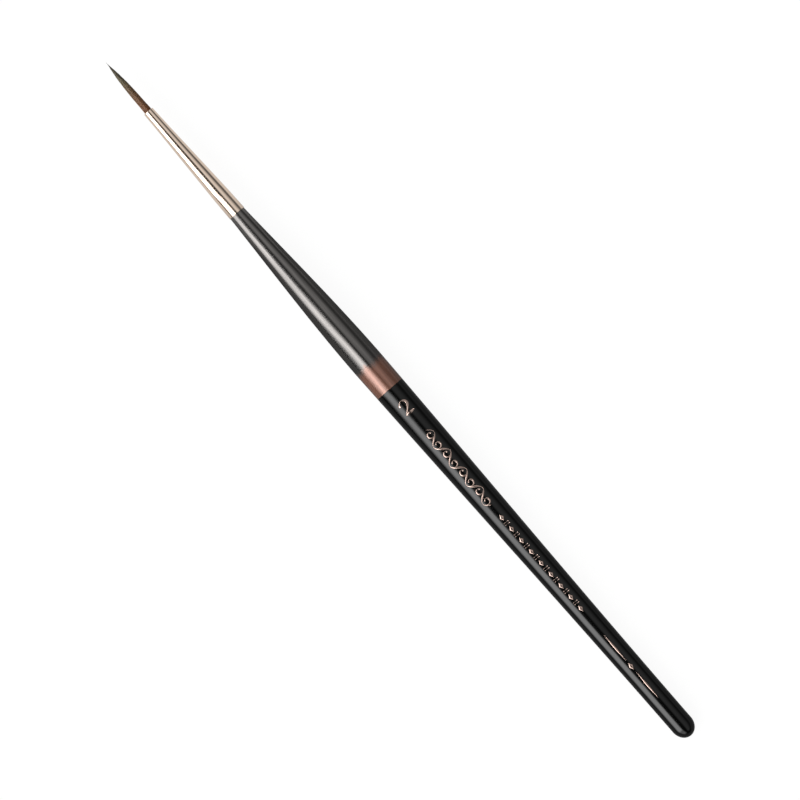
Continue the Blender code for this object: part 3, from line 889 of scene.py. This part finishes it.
class DETAILBRUSH_OT_stage(Operator):
    """Set the floor, the lights and the camera"""

    bl_idname = "detail_brush.stage"
    bl_label = "Studio"

    def execute(self, context):
        scene = context.scene
        self.make_floor(scene)
        self.make_world(scene)
        self.make_camera(scene)
        scene.view_settings.view_transform = "Standard"
        return {"FINISHED"}

    def make_floor(self, scene):
        """A wide sheet that touches the brush where it really rests, at its belly and near its round end."""
        sizes = scene.detail_brush_sizes
        depth = np.linspace(0, sizes.handle_length, 2000)
        low = AXIS_Z - handle_radius(depth, sizes)
        belly = int(np.argmin(low))
        behind = depth > depth[belly] + 20 * MM
        slope = ((low - low[belly]) / np.maximum(depth - depth[belly], MM))[behind].min()
        side = np.linspace(-FLOOR_REACH, FLOOR_REACH, 3)
        x, y = np.meshgrid(side, side, indexing="ij")
        clearance = 0.01 * MM
        rise = low[belly] - clearance + slope * (x - SHOULDER_X - depth[belly])
        points = np.stack([x, y, rise], axis=-1).reshape(-1, 3)
        index = np.arange(9).reshape(3, 3)
        corners = [index[:-1, :-1], index[1:, :-1], index[1:, 1:], index[:-1, 1:]]
        mesh = bpy.data.meshes.new("floor")
        mesh.from_pydata(points.tolist(), [], np.stack(corners, axis=-1).reshape(-1, 4).tolist())
        mesh.materials.append(pale_floor(scene.detail_brush_colours))
        floor = bpy.data.objects.new("floor", mesh)
        scene.collection.objects.link(floor)
        floor.visible_diffuse = False

    def make_world(self, scene):
        """A dark room with three strip lights, and white for what the camera sees directly.

        A ray's angle about the brush's axis runs from 0 straight up to minus 90 degrees on the key's side.
        The key's angle is bowed along the axis, its lower edge most, and comes back beyond the tuft.
        """
        studio = scene.detail_brush_studio
        world = bpy.data.worlds.new("studio")
        world.use_nodes = True
        tree = world.node_tree
        tree.nodes.clear()
        way = add_node(tree, "ShaderNodeTexCoord").outputs["Generated"]
        part = add_node(tree, "ShaderNodeSeparateXYZ", {"Vector": way}).outputs
        turn = {0: part["Y"], 1: part["Z"]}
        angle = add_node(tree, MATH, turn, operation="ARCTAN2").outputs["Value"]
        length = add_node(tree, MATH, {0: part["X"]}, operation="ABSOLUTE").outputs["Value"]
        shares = []
        for place, (full, low, left) in ((length, KEY_DIM), (part["X"], FILL_DIM), (length, END_DIM)):
            change = {"Value": place, "From Min": full, "From Max": low, "To Min": 1.0, "To Max": left}
            shares.append(add_node(tree, RANGE, change, **SMOOTH).outputs["Result"])
        key_share, fill_share, fade = shares
        total = studio.room_light
        for strength, share, places, angles in (
            (studio.key_light, key_share, self.bowed_angles(tree, angle, part["X"]), KEY_ANGLES),
            (studio.fill_light, fill_share, (angle, angle), FILL_ANGLES),
            (studio.horizon_light, 1.0, (angle, angle), HORIZON_ANGLES),
        ):
            glow = add_node(tree, MATH, {0: strength, 1: share}, operation="MULTIPLY").outputs["Value"]
            glow = self.strip_glow(tree, glow, places, angles)
            total = add_node(tree, MATH, {0: total, 1: glow}, operation="ADD").outputs["Value"]
        total = add_node(tree, MATH, {0: total, 1: fade}, operation="MULTIPLY").outputs["Value"]
        path = add_node(tree, "ShaderNodeLightPath").outputs["Is Camera Ray"]
        lit = add_node(tree, "ShaderNodeBackground", {"Color": WHITE, "Strength": total})
        white = add_node(tree, "ShaderNodeBackground", {"Color": WHITE, "Strength": 1.0})
        seen = {0: path, 1: lit.outputs["Background"], 2: white.outputs["Background"]}
        mixed = add_node(tree, "ShaderNodeMixShader", seen)
        add_node(tree, "ShaderNodeOutputWorld", {"Surface": mixed.outputs["Shader"]})
        scene.world = world

    def bowed_angles(self, tree, angle, along):
        """The angle with the drop of the key's lower edge added, and with that of its upper edge."""
        aside = add_node(tree, MATH, {0: along, 1: -BOW_MIDDLE}, operation="ADD").outputs["Value"]
        aside = add_node(tree, MATH, {0: aside}, operation="ABSOLUTE").outputs["Value"]
        bowed = []
        for middle, lowest, beyond in np.radians(KEY_BOW).tolist():
            drop = {"Value": aside, "From Max": BOW_REACH, "To Min": middle, "To Max": lowest}
            back = {"Value": along, "From Min": BACK_START, "From Max": BACK_END, "To Max": beyond - lowest}
            drop = add_node(tree, RANGE, drop, **SMOOTH).outputs["Result"]
            back = add_node(tree, RANGE, back).outputs["Result"]
            place = angle
            for change in (drop, back):
                place = add_node(tree, MATH, {0: place, 1: change}, operation="ADD").outputs["Value"]
            bowed.append(place)
        return bowed

    def strip_glow(self, tree, glow, places, angles):
        """Light of a strip that rises by a smooth step between two angles and falls between two more."""
        start, top, bend, end = np.radians(angles).tolist()
        for place, low, high, left, right in (
            (places[0], start, top, 0.0, 1.0),
            (places[1], bend, end, 1.0, 0.0),
        ):
            edge = {"Value": place, "From Min": low, "From Max": high, "To Min": left, "To Max": right}
            step = add_node(tree, RANGE, edge, **SMOOTH).outputs["Result"]
            glow = add_node(tree, MATH, {0: glow, 1: step}, operation="MULTIPLY").outputs["Value"]
        return glow

    def make_camera(self, scene):
        """Straight over the middle of the brush, turned so that it lies across the picture."""
        studio = scene.detail_brush_studio
        camera = bpy.data.objects.new("camera", bpy.data.cameras.new("camera"))
        camera.data.lens = studio.lens
        distance = studio.picture_width * studio.lens / camera.data.sensor_width
        camera.location = (0.0, studio.camera_side, AXIS_Z + distance)
        camera.rotation_euler = (0.0, 0.0, studio.roll)
        scene.collection.objects.link(camera)
        scene.camera = camera


class DETAILBRUSH_PT_panel(Panel):
    """Sidebar panel of the brush"""

    bl_idname = "DETAILBRUSH_PT_panel"
    bl_label = "Detail Brush"
    bl_space_type = "VIEW_3D"
    bl_region_type = "UI"
    bl_category = "Detail Brush"

    def draw(self, context):
        layout = self.layout
        scene = context.scene
        for group in (scene.detail_brush_sizes, scene.detail_brush_colours, scene.detail_brush_studio):
            box = layout.box()
            for name in group.bl_rna.properties.keys():
                if name not in {"rna_type", "name"}:
                    box.prop(group, name)
        for operator in OPERATORS:
            layout.operator(operator.bl_idname)


GROUPS = (DetailBrushSizes, DetailBrushColours, DetailBrushStudio)
OPERATORS = (
    DETAILBRUSH_OT_tuft,
    DETAILBRUSH_OT_ferrule,
    DETAILBRUSH_OT_coats,
    DETAILBRUSH_OT_foil,
    DETAILBRUSH_OT_inside,
    DETAILBRUSH_OT_stage,
)


def register():
    """Add the classes and the scene's settings."""
    for item in (*GROUPS, *OPERATORS, DETAILBRUSH_PT_panel):
        bpy.utils.register_class(item)
    bpy.types.Scene.detail_brush_sizes = PointerProperty(type=DetailBrushSizes)
    bpy.types.Scene.detail_brush_colours = PointerProperty(type=DetailBrushColours)
    bpy.types.Scene.detail_brush_studio = PointerProperty(type=DetailBrushStudio)


def unregister():
    """Remove what register added."""
    del bpy.types.Scene.detail_brush_studio
    del bpy.types.Scene.detail_brush_colours
    del bpy.types.Scene.detail_brush_sizes
    for item in (DETAILBRUSH_PT_panel, *reversed(OPERATORS), *reversed(GROUPS)):
        bpy.utils.unregister_class(item)


def main():
    """Build every piece."""
    register()
    bpy.ops.detail_brush.tuft()
    bpy.ops.detail_brush.ferrule()
    bpy.ops.detail_brush.coats()
    bpy.ops.detail_brush.foil()
    bpy.ops.detail_brush.inside()
    bpy.ops.detail_brush.stage()


if __name__ == "__main__":
    main()
